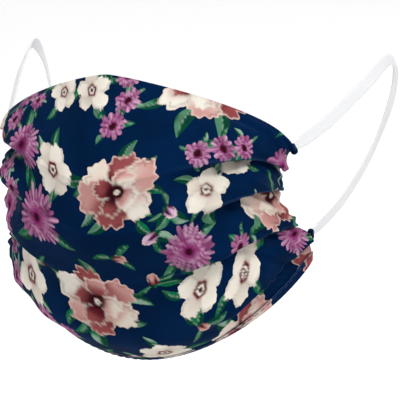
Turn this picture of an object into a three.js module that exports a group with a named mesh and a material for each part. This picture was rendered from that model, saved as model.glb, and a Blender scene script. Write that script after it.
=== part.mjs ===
// A pleated cloth face mask, held open as it is when worn, with a flat elastic ear loop on each side.
// Millimetres. +Z is up, the front of the cup faces -Y, and +X is the wearer's left.
// The origin is the middle of the upper edge, where the cloth rests on the bridge of the nose.

import * as THREE from 'three';

// Driving sizes

const HALF_WIDTH = 60; // middle of the cup to an upper corner, sideways
const HEIGHT = 113; // bridge of the nose to the lowest edge, under the chin
const CUP_DEPTH = 50; // bridge of the nose back to a lower corner
const CLOTH = 1.0; // thickness of the cloth wall
const PLY_GAP = 0.3; // air between two plies of a pleat
const FOLD_EASE = 0.8; // cloth that lies along the cup on each side of a fold
const SEAT_GAP = 0.3; // air between two pieces that are sewn together
const HEM_WIDTH = 4.5; // turned band along the lower edge
const HEM_PLY = 0.8; // how far that band stands off the cloth
const BAND_WIDTH = 4.8; // flat elastic of the ear loops
const BAND_THICKNESS = 0.8;
const TAB_LENGTH = 2.0; // stitched tab that grips each end of a loop
const TAB_PLY = 0.8;
const TAB_BORDER = 0.3; // how far a tab is wider than the elastic, on each side
const EAR_OUT = 20; // loop behind an ear, sideways beyond an upper corner
const EAR_BACK = 110; // bridge of the nose back to the loop behind an ear
const EAR_DROP = 3; // top of the loop, below the bridge of the nose

// Turns rows of numbers into records, one for each row, under the names of their columns.
function table(columns, rows) {
  return rows.map((row) => Object.fromEntries(columns.map((name, i) => [name, row[i]])));
}

// The cup's cross lines, from the upper edge to the lower edge, one row for each.
// at: place down the cup. back, down: the middle of the line. level: how far it runs straight sideways there.
// bow*: the point that it bends towards. end*: where it meets the side edge.
// Sideways lengths are shares of HALF_WIDTH, back ones of CUP_DEPTH and down ones of HEIGHT.
const LINES = table(
  ['at', 'back', 'down', 'level', 'bowOut', 'bowBack', 'bowDown', 'endOut', 'endBack', 'endDown'],
  [
    [0.00, 0.00, 0.00, 0.13, 0.95, 0.59, 0.13, 1.00, 0.62, 0.25],
    [0.29, -0.26, 0.31, 0.23, 0.91, 0.12, 0.17, 0.90, 0.73, 0.325],
    [0.43, -0.29, 0.47, 0.33, 0.90, -0.03, 0.30, 0.87, 0.79, 0.40],
    [0.52, -0.24, 0.55, 0.41, 0.88, -0.04, 0.385, 0.90, 0.81, 0.48],
    [0.61, -0.09, 0.65, 0.50, 0.83, 0.05, 0.475, 0.955, 0.88, 0.53],
    [0.85, 0.13, 0.905, 0.61, 0.81, 0.21, 0.685, 1.02, 1.00, 0.59],
    [1.00, 0.48, 1.00, 0.40, 0.93, 0.50, 0.80, 1.02, 1.06, 0.67],
  ],
);

// The pleats, each folded along one of those lines and opening downwards.
// depth: its tuck at the side edge, as a share of the cloth between it and the line above.
// flat: where it stops being pressed flat, and open: where it has opened out, as shares of the half width.
const PLEATS = table(
  ['line', 'depth', 'flat', 'open'],
  [
    [1, 0.42, 0.86, 0.34],
    [2, 0.40, 0.88, 0.42],
    [4, 0.40, 0.80, 0.16],
    [5, 0.36, 0.84, 0.36],
  ],
);

// Each ear loop's route between its two corners.
// out, back, up: shares of the way from the corner named by "from" to the loop's widest, rearmost and highest.
// turn: how far the band's face leans from sideways towards the outside of the loop, in degrees.
const LOOP = table(
  ['from', 'out', 'back', 'up', 'turn'],
  [
    ['upper', 0.00, 0.00, 0.00, 30],
    ['upper', 0.40, 0.29, 0.32, 42],
    ['upper', 0.76, 0.60, 0.74, 46],
    ['upper', 0.97, 0.87, 1.00, 20],
    ['lower', 0.97, 0.985, 0.86, -14],
    ['lower', 0.86, 1.00, 0.68, -18],
    ['lower', 0.58, 0.93, 0.40, -4],
    ['lower', 0.28, 0.52, 0.14, -6],
    ['lower', 0.00, 0.00, 0.00, 0],
  ],
);

// How finely the cloth and the bands are drawn
const COLUMNS = 34;
const BEND_STEPS = 3;
const SLOPE_STEPS = 4;
const FIRST_SLOPE_STEPS = 6;
const RAIL_STEPS = 48;
const BAND_STEPS = 36;

const cloth = new THREE.MeshStandardMaterial({ color: 0x0e1b3f, roughness: 0.78, metalness: 0 });
const hemCloth = new THREE.MeshStandardMaterial({ color: 0x14203f, roughness: 0.8, metalness: 0 });
const elastic = new THREE.MeshStandardMaterial({ color: 0xf2f2f2, roughness: 0.85, metalness: 0 });

const smooth = (x) => {
  const t = Math.min(1, Math.max(0, x));
  return t * t * (3 - 2 * t);
};
const mix = (a, b, t) => a + (b - a) * t;

// The cup's smooth form

// A point on one cross line, u from 0 in the middle to 1 at the side edge.
function onLine(line, u) {
  const start = [0, line.back * CUP_DEPTH, -line.down * HEIGHT];
  const level = [line.level * HALF_WIDTH, start[1], start[2]];
  const bow = [line.bowOut * HALF_WIDTH, line.bowBack * CUP_DEPTH, -line.bowDown * HEIGHT];
  const end = [line.endOut * HALF_WIDTH, line.endBack * CUP_DEPTH, -line.endDown * HEIGHT];
  const w = [(1 - u) ** 3, 3 * (1 - u) ** 2 * u, 3 * (1 - u) * u * u, u ** 3];
  return [0, 1, 2].map((k) => w[0] * start[k] + w[1] * level[k] + w[2] * bow[k] + w[3] * end[k]);
}

// Slopes of the smooth curve through the lines' points at one u.
function slopes(points) {
  const n = points.length;
  const gap = (k) => LINES[k + 1].at - LINES[k].at;
  const rise = (k) => points[k + 1].map((c, i) => (c - points[k][i]) / gap(k));
  const out = points.map((p, k) => {
    if (k === 0 || k === n - 1) return null;
    const a = rise(k - 1);
    const b = rise(k);
    const total = gap(k - 1) + gap(k);
    return a.map((c, i) => (c * gap(k) + b[i] * gap(k - 1)) / total);
  });
  out[0] = rise(0).map((c, i) => 2 * c - out[1][i]);
  out[n - 1] = rise(n - 2).map((c, i) => 2 * c - out[n - 2][i]);
  return out;
}

// A point of the cup, u from -1 to 1 across it and v from 0 to 1 down it.
function cup(u, v) {
  const points = LINES.map((line) => onLine(line, Math.abs(u)));
  const slope = slopes(points);
  let k = 0;
  while (k < LINES.length - 2 && v > LINES[k + 1].at) k += 1;
  const gap = LINES[k + 1].at - LINES[k].at;
  const t = (v - LINES[k].at) / gap;
  const a = 2 * t ** 3 - 3 * t * t + 1;
  const b = (t ** 3 - 2 * t * t + t) * gap;
  const c = -2 * t ** 3 + 3 * t * t;
  const d = (t ** 3 - t * t) * gap;
  const p = [0, 1, 2].map(
    (i) => a * points[k][i] + b * slope[k][i] + c * points[k + 1][i] + d * slope[k + 1][i],
  );
  return new THREE.Vector3(Math.sign(u || 1) * p[0], p[1], p[2]);
}

// Outward direction of the cup at (u, v).
function outward(u, v) {
  const e = 1e-3;
  const across = cup(Math.min(1, u + e), v).sub(cup(Math.max(-1, u - e), v));
  const down = cup(u, Math.min(1, v + e)).sub(cup(u, Math.max(0, v - e)));
  return down.cross(across).normalize();
}

// One line down the cup at a fixed u, measured by its length s from the upper edge.
function rail(u) {
  const vs = [];
  for (let i = 0; i <= RAIL_STEPS; i += 1) vs.push(i / RAIL_STEPS);
  const points = vs.map((v) => cup(u, v));
  const normals = vs.map((v) => outward(u, v));
  const lengths = [0];
  for (let i = 1; i <= RAIL_STEPS; i += 1) {
    lengths.push(lengths[i - 1] + points[i].distanceTo(points[i - 1]));
  }
  const total = lengths[RAIL_STEPS];
  const place = (s, h) => {
    const held = Math.min(total, Math.max(0, s));
    let i = 0;
    while (i < RAIL_STEPS - 1 && lengths[i + 1] < held) i += 1;
    const t = (held - lengths[i]) / (lengths[i + 1] - lengths[i]);
    const point = points[i].clone().lerp(points[i + 1], t);
    const normal = normals[i].clone().lerp(normals[i + 1], t).normalize();
    return point.addScaledVector(normal, h);
  };
  const lengthAt = (v) => {
    const x = v * RAIL_STEPS;
    const i = Math.min(RAIL_STEPS - 1, Math.floor(x));
    return mix(lengths[i], lengths[i + 1], x - i);
  };
  return { total, place, lengthAt };
}

// The pleats

// How one pleat is folded at u: its angle, its tuck and how far it reaches along and off the cup.
function foldAt(pleat, line, u, railHere) {
  const s = railHere.lengthAt(LINES[line].at);
  const above = s - railHere.lengthAt(LINES[line - 1].at);
  const sideAbove = SIDE_RAIL.lengthAt(LINES[line].at) - SIDE_RAIL.lengthAt(LINES[line - 1].at);
  const pressed = smooth((Math.abs(u) - pleat.open) / (pleat.flat - pleat.open));
  const angle = Math.PI * mix(0.03, 1, pressed);
  const tuck = pleat.depth * Math.min(sideAbove, above) * mix(0.4, 1, pressed);
  const bendLength = Math.PI * (CLOTH + PLY_GAP) / 2;
  const radius = bendLength / angle;
  const along = 2 * radius * Math.sin(angle) + tuck * Math.cos(angle);
  const off = 2 * radius * (1 - Math.cos(angle)) + tuck * Math.sin(angle);
  return { s, angle, tuck, radius, along, off };
}

const SIDE_RAIL = rail(1);

// The folded cloth's middle line at u, as points (s, h): s along the cup and h off it.
function foldedLine(u) {
  const railHere = rail(u);
  const folds = PLEATS.map((pleat) => foldAt(pleat, pleat.line, u, railHere));
  const clear = CLOTH / 2 + PLY_GAP + (CLOTH + PLY_GAP) / 2;
  const points = [[0, 0]];
  let from = { s: 0, h: 0, clearTo: 0 };
  const panel = (to, steps) => {
    const leave = Math.max(from.s + FOLD_EASE, from.clearTo);
    const meet = Math.min(to.s - FOLD_EASE, to.clearFrom);
    const a = leave < meet ? leave : (leave + meet) / 2 - FOLD_EASE / 4;
    const b = leave < meet ? meet : (leave + meet) / 2 + FOLD_EASE / 4;
    for (let i = 0; i <= steps; i += 1) {
      points.push([mix(a, b, i / steps), mix(from.h, to.h, smooth(i / steps))]);
    }
    points.push([to.s, to.h]);
  };
  folds.forEach((f, n) => {
    const lap = Math.max(0, -f.tuck * Math.cos(f.angle)) + clear;
    panel({ s: f.s, h: f.off / 2, clearFrom: f.s - lap }, n === 0 ? FIRST_SLOPE_STEPS : SLOPE_STEPS);
    for (let i = 1; i <= BEND_STEPS; i += 1) {
      const a = (f.angle * i) / BEND_STEPS;
      points.push([f.s + f.radius * Math.sin(a), f.off / 2 - f.radius * (1 - Math.cos(a))]);
    }
    for (let i = BEND_STEPS; i >= 0; i -= 1) {
      const a = (f.angle * i) / BEND_STEPS;
      points.push([
        f.s + f.along - f.radius * Math.sin(a),
        -f.off / 2 + f.radius * (1 - Math.cos(a)),
      ]);
    }
    from = { s: f.s + f.along, h: -f.off / 2, clearTo: f.s + clear };
  });
  panel({ s: railHere.total, h: 0, clearFrom: railHere.total }, SLOPE_STEPS);
  return { railHere, points };
}

// The two faces of the cloth at u, each a list of points in space.
function clothFaces(u) {
  const { railHere, points } = foldedLine(u);
  const last = points.length - 1;
  const faces = { outer: [], inner: [] };
  points.forEach(([s, h], i) => {
    const before = points[Math.max(0, i - 1)];
    const after = points[Math.min(last, i + 1)];
    const ds = after[0] - before[0];
    const dh = after[1] - before[1];
    const size = Math.hypot(ds, dh);
    const atEdge = i === 0 || i === last;
    const side = atEdge ? [0, 1] : [-dh / size, ds / size];
    const half = CLOTH / 2;
    faces.outer.push(railHere.place(s + side[0] * half, h + side[1] * half));
    faces.inner.push(railHere.place(s - side[0] * half, h - side[1] * half));
  });
  return faces;
}

// Solids

// A closed solid between two grids of points of the same size: rows[i][j] and under[i][j].
function slab(rows, under) {
  const n = rows.length;
  const m = rows[0].length;
  const position = [];
  [rows, under].forEach((grid) => grid.forEach((row) => row.forEach((p) => position.push(p.x, p.y, p.z))));
  const top = (i, j) => i * m + j;
  const low = (i, j) => n * m + i * m + j;
  const index = [];
  const quad = (a, b, c, d) => index.push(a, b, c, a, c, d);
  for (let i = 0; i < n - 1; i += 1) {
    for (let j = 0; j < m - 1; j += 1) {
      quad(top(i, j), top(i + 1, j), top(i + 1, j + 1), top(i, j + 1));
      quad(low(i, j), low(i, j + 1), low(i + 1, j + 1), low(i + 1, j));
    }
    quad(top(i, 0), low(i, 0), low(i + 1, 0), top(i + 1, 0));
    quad(top(i, m - 1), top(i + 1, m - 1), low(i + 1, m - 1), low(i, m - 1));
  }
  for (let j = 0; j < m - 1; j += 1) {
    quad(top(0, j), top(0, j + 1), low(0, j + 1), low(0, j));
    quad(top(n - 1, j), low(n - 1, j), low(n - 1, j + 1), top(n - 1, j + 1));
  }
  const geometry = new THREE.BufferGeometry();
  geometry.setAttribute('position', new THREE.Float32BufferAttribute(position, 3));
  geometry.setIndex(index);
  geometry.computeVertexNormals();
  return geometry;
}

// A closed solid through rings of points, each ring the same size and turning the same way.
function tube(rings) {
  const n = rings.length;
  const m = rings[0].length;
  const position = [];
  rings.forEach((ring) => ring.forEach((p) => position.push(p.x, p.y, p.z)));
  const index = [];
  for (let i = 0; i < n - 1; i += 1) {
    for (let j = 0; j < m; j += 1) {
      const k = (j + 1) % m;
      const a = i * m + j;
      const b = i * m + k;
      const c = (i + 1) * m + k;
      const d = (i + 1) * m + j;
      index.push(a, b, c, a, c, d);
    }
  }
  const outline = rings[0].map((p) => p.ringPlace);
  const caps = THREE.ShapeUtils.triangulateShape(outline, []);
  const offset = (n - 1) * m;
  caps.forEach(([a, b, c]) => {
    index.push(a, c, b);
    index.push(offset + a, offset + b, offset + c);
  });
  const geometry = new THREE.BufferGeometry();
  geometry.setAttribute('position', new THREE.Float32BufferAttribute(position, 3));
  geometry.setIndex(index);
  geometry.computeVertexNormals();
  return geometry;
}

function piece(name, geometry, material) {
  const mesh = new THREE.Mesh(geometry, material);
  mesh.name = name;
  return mesh;
}

// The cloth is drawn more finely near the sides, where the pleats are pressed.
function columnPlaces() {
  const out = [];
  for (let j = 0; j <= COLUMNS; j += 1) {
    const x = -1 + (2 * j) / COLUMNS;
    out.push(Math.sign(x) * mix(Math.abs(x), 1 - (1 - Math.abs(x)) ** 2, 0.35));
  }
  return out;
}

function maskBody() {
  const faces = columnPlaces().map(clothFaces);
  const outer = faces[0].outer.map((_, i) => faces.map((f) => f.outer[i]));
  const inner = faces[0].inner.map((_, i) => faces.map((f) => f.inner[i]));
  return { geometry: slab(outer, inner), faces };
}

function hemStrip() {
  const steps = 3;
  const places = columnPlaces();
  const rails = places.map(rail);
  const face = (off) => {
    const rows = [];
    for (let i = 0; i <= steps; i += 1) {
      rows.push(rails.map((r) => r.place(r.total - HEM_WIDTH * (1 - i / steps), off)));
    }
    return rows;
  };
  const seat = CLOTH / 2 + SEAT_GAP;
  return slab(face(seat + HEM_PLY), face(seat));
}

// The ear loops

// Where a band's route runs, for the side that side = 1 or -1 names.
function bandRoute(corners, side) {
  const far = new THREE.Vector3(HALF_WIDTH + EAR_OUT, EAR_BACK, -EAR_DROP);
  const points = LOOP.map((row) => {
    const c = corners[row.from];
    return new THREE.Vector3(
      side * mix(c.x, far.x, row.out),
      mix(c.y, far.y, row.back),
      mix(c.z, far.z, row.up),
    );
  });
  return new THREE.CatmullRomCurve3(points, false, 'centripetal');
}

// The band's frame at t: along it, across its width, and off its outer face.
function bandFrame(route, t, side) {
  const along = route.getTangentAt(t);
  const place = route.getUtoTmapping(t) * (LOOP.length - 1);
  const k = Math.min(LOOP.length - 2, Math.floor(place));
  const turn = THREE.MathUtils.degToRad(mix(LOOP[k].turn, LOOP[k + 1].turn, smooth(place - k)));
  const sideways = new THREE.Vector3(side, 0, 0);
  sideways.addScaledVector(along, -sideways.dot(along)).normalize();
  const outOfLoop = new THREE.Vector3().crossVectors(sideways, along).multiplyScalar(side);
  const face = sideways.clone().multiplyScalar(Math.cos(turn));
  face.addScaledVector(outOfLoop, Math.sin(turn)).normalize();
  const across = new THREE.Vector3().crossVectors(face, along).normalize();
  return { point: route.getPointAt(t), along, across, face };
}

function ring(frame, outline) {
  return outline.map(([a, b]) => {
    const p = frame.point.clone();
    p.addScaledVector(frame.across, a).addScaledVector(frame.face, b);
    p.ringPlace = new THREE.Vector2(a, b);
    return p;
  });
}

function bandOutline() {
  const w = BAND_WIDTH / 2;
  const t = BAND_THICKNESS / 2;
  const r = BAND_THICKNESS / 4;
  return [
    [-w, -t + r],
    [-w + r, -t],
    [w - r, -t],
    [w, -t + r],
    [w, t - r],
    [w - r, t],
    [-w + r, t],
    [-w, t - r],
  ];
}

// The tab is a strip of cloth folded round the band, open along one edge.
function tabOutline() {
  const inside = BAND_THICKNESS / 2 + SEAT_GAP;
  const outside = inside + TAB_PLY;
  const w = BAND_WIDTH / 2 + SEAT_GAP + TAB_BORDER;
  const back = BAND_WIDTH / 2 + SEAT_GAP;
  return [
    [-w - TAB_PLY, -outside],
    [w, -outside],
    [w, -inside],
    [-back, -inside],
    [-back, inside],
    [w, inside],
    [w, outside],
    [-w - TAB_PLY, outside],
  ];
}

// How far the cloth reaches past a corner in one direction.
function reach(faces, corner, direction) {
  let most = -Infinity;
  faces.forEach((f) => [f.outer, f.inner].forEach((list) => list.forEach((p) => {
    const step = p.clone().sub(corner);
    if (step.length() < 3 * BAND_WIDTH) most = Math.max(most, step.dot(direction));
  })));
  return most;
}

// The same outline for the band on the other side.
function mirrored(outline) {
  return outline.map(([a, b]) => [-a, b]).reverse();
}

function straightTab(frame, start, length, outline) {
  const at = (d) => ({ ...frame, point: frame.point.clone().addScaledVector(frame.along, d) });
  return tube([ring(at(start), outline), ring(at(start + length), outline)]);
}

function earLoop(side, faces) {
  const inward = BAND_WIDTH / 2;
  const lowest = LINES[PLEATS[PLEATS.length - 1].line].at;
  const corners = {
    upper: SIDE_RAIL.place(inward, 0),
    lower: SIDE_RAIL.place(SIDE_RAIL.lengthAt(lowest) - inward / 2, 0),
  };
  const route = bandRoute(corners, side);
  const startFrame = bandFrame(route, 0, side);
  const endFrame = bandFrame(route, 1, side);
  const clearStart = reach(faces, startFrame.point, startFrame.along) + SEAT_GAP;
  const clearEnd = reach(faces, endFrame.point, endFrame.along.clone().negate()) + SEAT_GAP;
  const length = route.getLength();
  const inset = TAB_LENGTH * 0.2;
  const t0 = (clearStart + inset) / length;
  const t1 = 1 - (clearEnd + inset) / length;
  const forSide = side > 0 ? (outline) => outline : mirrored;
  const bandEdge = forSide(bandOutline());
  const tabEdge = forSide(tabOutline());
  const rings = [];
  for (let i = 0; i <= BAND_STEPS; i += 1) {
    rings.push(ring(bandFrame(route, mix(t0, t1, i / BAND_STEPS), side), bandEdge));
  }
  return {
    band: tube(rings),
    upperTab: straightTab(startFrame, clearStart, TAB_LENGTH, tabEdge),
    lowerTab: straightTab(endFrame, -clearEnd - TAB_LENGTH, TAB_LENGTH, tabEdge),
  };
}

// Assembly

const group = new THREE.Group();
const body = maskBody();
group.add(piece('mask_body', body.geometry, cloth));
group.add(piece('hem_strip', hemStrip(), hemCloth));
[['left', 1], ['right', -1]].forEach(([name, side]) => {
  const loop = earLoop(side, body.faces);
  group.add(piece(`ear_loop_${name}`, loop.band, elastic));
  group.add(piece(`corner_tab_${name}_upper`, loop.upperTab, hemCloth));
  group.add(piece(`corner_tab_${name}_lower`, loop.lowerTab, hemCloth));
});

export default group;
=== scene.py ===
import math
import random

import bpy
import numpy as np
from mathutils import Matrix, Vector


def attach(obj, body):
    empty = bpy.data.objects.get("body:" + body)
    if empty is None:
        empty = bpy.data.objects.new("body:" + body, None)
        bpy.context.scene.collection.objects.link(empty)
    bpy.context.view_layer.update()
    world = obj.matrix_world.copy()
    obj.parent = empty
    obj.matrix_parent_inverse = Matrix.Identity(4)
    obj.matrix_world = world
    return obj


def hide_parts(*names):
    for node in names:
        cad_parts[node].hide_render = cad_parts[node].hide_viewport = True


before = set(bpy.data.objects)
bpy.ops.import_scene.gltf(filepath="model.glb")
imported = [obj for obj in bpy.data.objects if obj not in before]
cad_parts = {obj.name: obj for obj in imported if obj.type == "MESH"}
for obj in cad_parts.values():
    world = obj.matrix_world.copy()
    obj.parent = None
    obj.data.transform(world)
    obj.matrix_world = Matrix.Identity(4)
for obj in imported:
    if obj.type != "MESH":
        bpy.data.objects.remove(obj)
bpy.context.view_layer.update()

MM = 0.001

# Camera: the photograph's viewing angle, in degrees and millimetres

VIEW_AZIMUTH = 20.4
VIEW_ELEVATION = 13.2
VIEW_DISTANCE = 537.0
VIEW_TARGET = (21.7, 36.0, -51.5)
VIEW_LENS = 127.0
SENSOR = 36.0


def smooth(x):
    t = np.clip(x, 0.0, 1.0)
    return t * t * (3 - 2 * t)


def mix(a, b, t):
    return a + (b - a) * t


def run(points):
    """Length along a line of points, at each of them."""
    return np.concatenate([[0], np.cumsum(np.linalg.norm(np.diff(points, axis=0), axis=1))])


def at_length(s, lengths, values):
    """Three-part values read off at lengths s."""
    return np.stack([np.interp(s, lengths, values[:, k]) for k in range(3)], -1)


def aim(obj, place, target):
    """Puts a camera or light at a place in millimetres, pointing at another."""
    bpy.context.scene.collection.objects.link(obj)
    obj.location = Vector(place) * MM
    obj.rotation_mode = "QUATERNION"
    obj.rotation_quaternion = (Vector(target) - Vector(place)).to_track_quat("-Z", "Y")


def make_camera():
    a, e = math.radians(VIEW_AZIMUTH), math.radians(VIEW_ELEVATION)
    back = Vector((math.sin(a) * math.cos(e), -math.cos(a) * math.cos(e), math.sin(e)))
    data = bpy.data.cameras.new("camera")
    data.lens = VIEW_LENS
    data.sensor_width = SENSOR
    data.clip_start = 0.01
    data.clip_end = 20.0
    camera = bpy.data.objects.new("camera", data)
    aim(camera, Vector(VIEW_TARGET) + back * VIEW_DISTANCE, VIEW_TARGET)
    bpy.context.scene.camera = camera


make_camera()

# Sizes, in millimetres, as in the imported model

HALF_WIDTH = 60.0
HEIGHT = 113.0
CUP_DEPTH = 50.0
CLOTH = 1.0
PLY_GAP = 0.3
SEAT_GAP = 0.3
HEM_SEAT = 0.06
HEM_WIDTH = 4.5
HEM_PLY = 0.45
BAND_WIDTH = 4.8
BAND_THICKNESS = 0.8
TAB_LENGTH = 2.0
TAB_PLY = 0.8
TAB_BORDER = 0.3
DRAWN_IN = 0.55
DRAWN_LENGTH = 5.5
EAR_OUT = 20.0
EAR_BACK = 110.0
EAR_DROP = 3.0

# The cup's cross lines: place down the cup, then the middle, the level run, the bend and the end,
# as shares of HALF_WIDTH sideways, CUP_DEPTH back and HEIGHT down.
LINE_COLUMNS = (
    "at", "back", "down", "level", "bow_out", "bow_back", "bow_down", "end_out", "end_back", "end_down",
)
LINES = [
    dict(zip(LINE_COLUMNS, row))
    for row in (
        (0.00, 0.00, 0.00, 0.13, 0.95, 0.59, 0.13, 1.00, 0.62, 0.25),
        (0.29, -0.26, 0.31, 0.23, 0.91, 0.12, 0.17, 0.90, 0.73, 0.325),
        (0.43, -0.29, 0.47, 0.33, 0.90, -0.03, 0.30, 0.87, 0.79, 0.40),
        (0.52, -0.24, 0.55, 0.41, 0.88, -0.04, 0.385, 0.90, 0.81, 0.48),
        (0.61, -0.09, 0.65, 0.50, 0.83, 0.05, 0.475, 0.955, 0.88, 0.53),
        (0.85, 0.13, 0.905, 0.61, 0.81, 0.21, 0.685, 1.02, 1.00, 0.59),
        (1.00, 0.48, 1.00, 0.40, 0.93, 0.50, 0.80, 1.02, 1.06, 0.67),
    )
]

# The pleats: the line each is folded along, its tuck, and where it stops being pressed and has opened.
PLEATS = [
    dict(line=1, depth=0.42, flat=0.86, open=0.34),
    dict(line=2, depth=0.40, flat=0.88, open=0.42),
    dict(line=4, depth=0.40, flat=0.80, open=0.16),
    dict(line=5, depth=0.36, flat=0.84, open=0.36),
]
REFERENCE_PLEAT = 1

# Each ear loop's route: corner it is measured from, shares of the way to the ear, and the band's lean.
LOOP = [
    ("upper", 0.00, 0.00, 0.00, 30),
    ("upper", 0.40, 0.29, 0.32, 42),
    ("upper", 0.76, 0.60, 0.74, 46),
    ("upper", 0.97, 0.87, 1.00, 20),
    ("lower", 0.97, 0.985, 0.86, -14),
    ("lower", 0.86, 1.00, 0.68, -18),
    ("lower", 0.58, 0.93, 0.40, -4),
    ("lower", 0.28, 0.52, 0.14, -6),
    ("lower", 0.00, 0.00, 0.00, 0),
]

# How finely the cloth is drawn. Steps are even, so that the inner face can take every second one.
COLUMNS = 290
RAIL_STEPS = 150
PANEL_STEPS = ((2, 46, 12), (6, 10, 10), (6, 16, 12), (6, 26, 12), (8, 21, 1))
BEND_STEPS = 6
TUCK_STEPS = 4

# How far the worn cloth stands off the smooth cup, each way
GATHER_DEPTH = 0.75
DRAPE_DEPTH = 0.45
WORN_DEPTH = 0.22
# How far in from the upper and from the lower edge the creases reach their full depth
EVEN_BORDER = 6.0
EVEN_FOOT = 16.0
# How far the painted shade under the lip of a pleat reaches
SHADE_REACH = 3.2
# How far the cloth's rounded rim stands out, as a share of its thickness
RIM_PROUD = 0.35


# The cup's smooth form


def line_points(u):
    """The points of all cross lines at u, as an array (lines, 3)."""
    u = abs(u)
    shares = ((1 - u) ** 3, 3 * (1 - u) ** 2 * u, 3 * (1 - u) * u * u, u**3)
    out = []
    for r in LINES:
        start = (0.0, r["back"], r["down"])
        level = (r["level"], r["back"], r["down"])
        bow = (r["bow_out"], r["bow_back"], r["bow_down"])
        end = (r["end_out"], r["end_back"], r["end_down"])
        out.append(sum(share * np.array(point) for share, point in zip(shares, (start, level, bow, end))))
    return np.array(out) * (HALF_WIDTH, CUP_DEPTH, -HEIGHT)


AT = np.array([r["at"] for r in LINES])


def cup_column(u, v):
    """Points of the cup at u for an array v, from -1 to 1 across it and 0 to 1 down it."""
    pts = line_points(u)
    gap = np.diff(AT)
    rise = np.diff(pts, axis=0) / gap[:, None]
    slope = np.zeros_like(pts)
    for k in range(1, len(pts) - 1):
        slope[k] = (rise[k - 1] * gap[k] + rise[k] * gap[k - 1]) / (gap[k - 1] + gap[k])
    slope[0] = 2 * rise[0] - slope[1]
    slope[-1] = 2 * rise[-1] - slope[-2]
    k = np.clip(np.searchsorted(AT, v, side="left") - 1, 0, len(AT) - 2)
    t = ((v - AT[k]) / gap[k])[:, None]
    g = gap[k][:, None]
    p = (
        (2 * t**3 - 3 * t * t + 1) * pts[k]
        + (t**3 - 2 * t * t + t) * g * slope[k]
        + (-2 * t**3 + 3 * t * t) * pts[k + 1]
        + (t**3 - t * t) * g * slope[k + 1]
    )
    if u < 0:
        p[:, 0] *= -1
    return p


def across_length(u, v):
    """Length along the cloth from the middle to u, at an array v."""
    steps = max(2, int(abs(u) * 24) + 2)
    us = np.linspace(0, abs(u), steps)
    pts = np.array([cup_column(x, v) for x in us])
    total = np.sqrt((np.diff(pts, axis=0) ** 2).sum(-1)).sum(0)
    return total * (1 if u >= 0 else -1)


class Rail:
    """One line down the cup at a fixed u, measured by its length s from the upper edge."""

    def __init__(self, u):
        e = 1e-3
        self.u = u
        self.v = np.linspace(0, 1, RAIL_STEPS + 1)
        self.points = cup_column(u, self.v)
        across = cup_column(min(1, u + e), self.v) - cup_column(max(-1, u - e), self.v)
        down = cup_column(u, np.minimum(1, self.v + e)) - cup_column(u, np.maximum(0, self.v - e))
        n = np.cross(down, across)
        self.normals = n / np.linalg.norm(n, axis=1)[:, None]
        self.lengths = run(self.points)
        self.total = self.lengths[-1]

    def place(self, s, h):
        s = np.clip(s, 0, self.total)
        n = at_length(s, self.lengths, self.normals)
        n /= np.linalg.norm(n, axis=-1)[..., None]
        return at_length(s, self.lengths, self.points) + n * np.asarray(h)[..., None]

    def length_at(self, v):
        return float(np.interp(v, self.v, self.lengths))


SIDE_RAIL = Rail(1.0)


# The pleats


def fold_at(pleat, rail):
    line = pleat["line"]
    s = rail.length_at(AT[line])
    above = s - rail.length_at(AT[line - 1])
    side_above = SIDE_RAIL.length_at(AT[line]) - SIDE_RAIL.length_at(AT[line - 1])
    pressed = float(smooth((abs(rail.u) - pleat["open"]) / (pleat["flat"] - pleat["open"])))
    angle = math.pi * mix(0.03, 1, pressed)
    tuck = pleat["depth"] * min(side_above, above) * mix(0.4, 1, pressed)
    radius = math.pi * (CLOTH + PLY_GAP) / 2 / angle
    along = 2 * radius * math.sin(angle) + tuck * math.cos(angle)
    off = 2 * radius * (1 - math.cos(angle)) + tuck * math.sin(angle)
    return dict(s=s, angle=angle, tuck=tuck, radius=radius, along=along, off=off, pressed=pressed)


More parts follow.
